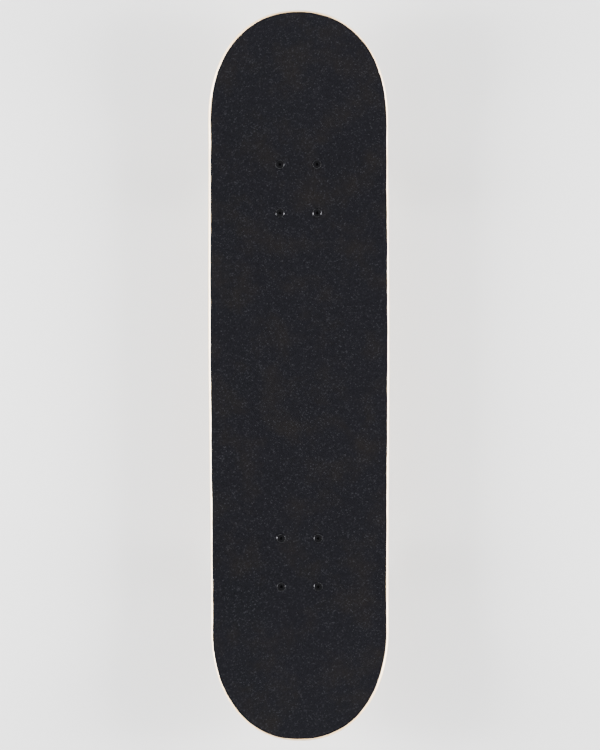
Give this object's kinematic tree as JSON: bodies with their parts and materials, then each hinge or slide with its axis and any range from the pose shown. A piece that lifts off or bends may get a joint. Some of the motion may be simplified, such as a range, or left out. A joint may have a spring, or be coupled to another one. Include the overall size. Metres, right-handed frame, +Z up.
{
  "type": "street skateboard",
  "caption": "Street skateboard: dished maple deck with raised nose and tail, black grip tape, sprung kingpin trucks and urethane wheels on ball bearings.",
  "frame": {"origin": "on the floor under the middle of the board: the bottom centre of its bounding box, with the board standing on its wheels", "axes": "+Y along the board towards the nose, +X across it to the rider's right when facing the nose, +Z up"},
  "size_m": [0.201, 0.8, 0.141],
  "materials": {
    "maple": "pressed seven-ply maple, clear coated",
    "grip": "black abrasive grit on an adhesive film",
    "black_steel": "black oxide steel",
    "zinc_steel": "zinc plated steel",
    "cast_aluminium": "tumbled cast aluminium",
    "chromoly": "ground steel",
    "bearing_steel": "polished bearing steel",
    "wheel_urethane": "cast white urethane",
    "bushing_urethane": "cast amber urethane",
    "cup_urethane": "moulded black urethane",
    "nylon": "moulded nylon"
  },
  "bodies": {
    "deck": {"deck": "maple", "griptape": "grip", "front_deck_bolts": "black_steel", "front_deck_nuts": "black_steel", "front_deck_nut_inserts": "nylon", "front_baseplate": "cast_aluminium", "front_pivot_cup": "cup_urethane", "front_kingpin": "zinc_steel", "front_kingpin_nut": "zinc_steel", "front_kingpin_nut_insert": "nylon", "front_board_bushing": "bushing_urethane", "front_road_bushing": "bushing_urethane", "front_board_washer": "zinc_steel", "front_road_washer": "zinc_steel", "rear_deck_bolts": "black_steel", "rear_deck_nuts": "black_steel", "rear_deck_nut_inserts": "nylon", "rear_baseplate": "cast_aluminium", "rear_pivot_cup": "cup_urethane", "rear_kingpin": "zinc_steel", "rear_kingpin_nut": "zinc_steel", "rear_kingpin_nut_insert": "nylon", "rear_board_bushing": "bushing_urethane", "rear_road_bushing": "bushing_urethane", "rear_board_washer": "zinc_steel", "rear_road_washer": "zinc_steel"},
    "front_hanger": {"front_hanger": "cast_aluminium", "front_axle": "chromoly", "front_axle_nuts": "zinc_steel", "front_axle_nut_inserts": "nylon", "front_speed_rings": "zinc_steel", "front_inner_races": "bearing_steel", "front_bearing_spacers": "zinc_steel"},
    "rear_hanger": {"rear_hanger": "cast_aluminium", "rear_axle": "chromoly", "rear_axle_nuts": "zinc_steel", "rear_axle_nut_inserts": "nylon", "rear_speed_rings": "zinc_steel", "rear_inner_races": "bearing_steel", "rear_bearing_spacers": "zinc_steel"},
    "front_left_wheel": {"front_left_wheel": "wheel_urethane", "front_left_outer_races": "bearing_steel", "front_left_shields": "zinc_steel"},
    "front_left_ball_sets": {"front_left_balls": "bearing_steel", "front_left_cages": "nylon"},
    "front_right_wheel": {"front_right_wheel": "wheel_urethane", "front_right_outer_races": "bearing_steel", "front_right_shields": "zinc_steel"},
    "front_right_ball_sets": {"front_right_balls": "bearing_steel", "front_right_cages": "nylon"},
    "rear_left_wheel": {"rear_left_wheel": "wheel_urethane", "rear_left_outer_races": "bearing_steel", "rear_left_shields": "zinc_steel"},
    "rear_left_ball_sets": {"rear_left_balls": "bearing_steel", "rear_left_cages": "nylon"},
    "rear_right_wheel": {"rear_right_wheel": "wheel_urethane", "rear_right_outer_races": "bearing_steel", "rear_right_shields": "zinc_steel"},
    "rear_right_ball_sets": {"rear_right_balls": "bearing_steel", "rear_right_cages": "nylon"}
  },
  "joints": [
    {"name": "front_steer", "type": "hinge", "parent": "deck", "child": "front_hanger", "pos_m": [0, 0.23299, 0.0665], "axis": [0, 0.8944, 0.4472], "range_deg": [-16, 16], "stiffness_Nm_per_rad": 45, "deforming": ["front_board_bushing", "front_road_bushing"]},
    {"name": "rear_steer", "type": "hinge", "parent": "deck", "child": "rear_hanger", "pos_m": [0, -0.23299, 0.0665], "axis": [0, -0.8944, 0.4472], "range_deg": [-16, 16], "stiffness_Nm_per_rad": 45, "deforming": ["rear_board_bushing", "rear_road_bushing"]},
    {"name": "front_left_spin", "type": "hinge", "parent": "front_hanger", "child": "front_left_wheel", "pos_m": [0, 0.20799, 0.026], "axis": [1, 0, 0], "continuous": true},
    {"name": "front_left_ball_roll", "type": "hinge", "parent": "front_hanger", "child": "front_left_ball_sets", "pos_m": [0, 0.20799, 0.026], "axis": [1, 0, 0], "continuous": true},
    {"name": "front_right_spin", "type": "hinge", "parent": "front_hanger", "child": "front_right_wheel", "pos_m": [0, 0.20799, 0.026], "axis": [1, 0, 0], "continuous": true},
    {"name": "front_right_ball_roll", "type": "hinge", "parent": "front_hanger", "child": "front_right_ball_sets", "pos_m": [0, 0.20799, 0.026], "axis": [1, 0, 0], "continuous": true},
    {"name": "rear_left_spin", "type": "hinge", "parent": "rear_hanger", "child": "rear_left_wheel", "pos_m": [0, -0.20799, 0.026], "axis": [1, 0, 0], "continuous": true},
    {"name": "rear_left_ball_roll", "type": "hinge", "parent": "rear_hanger", "child": "rear_left_ball_sets", "pos_m": [0, -0.20799, 0.026], "axis": [1, 0, 0], "continuous": true},
    {"name": "rear_right_spin", "type": "hinge", "parent": "rear_hanger", "child": "rear_right_wheel", "pos_m": [0, -0.20799, 0.026], "axis": [1, 0, 0], "continuous": true},
    {"name": "rear_right_ball_roll", "type": "hinge", "parent": "rear_hanger", "child": "rear_right_ball_sets", "pos_m": [0, -0.20799, 0.026], "axis": [1, 0, 0], "continuous": true}
  ],
  "couplings": [
    {"joint": "front_left_ball_roll", "follows": "front_left_spin", "ratio": 0.6323},
    {"joint": "front_right_ball_roll", "follows": "front_right_spin", "ratio": 0.6323},
    {"joint": "rear_left_ball_roll", "follows": "rear_left_spin", "ratio": 0.6323},
    {"joint": "rear_right_ball_roll", "follows": "rear_right_spin", "ratio": 0.6323}
  ]
}
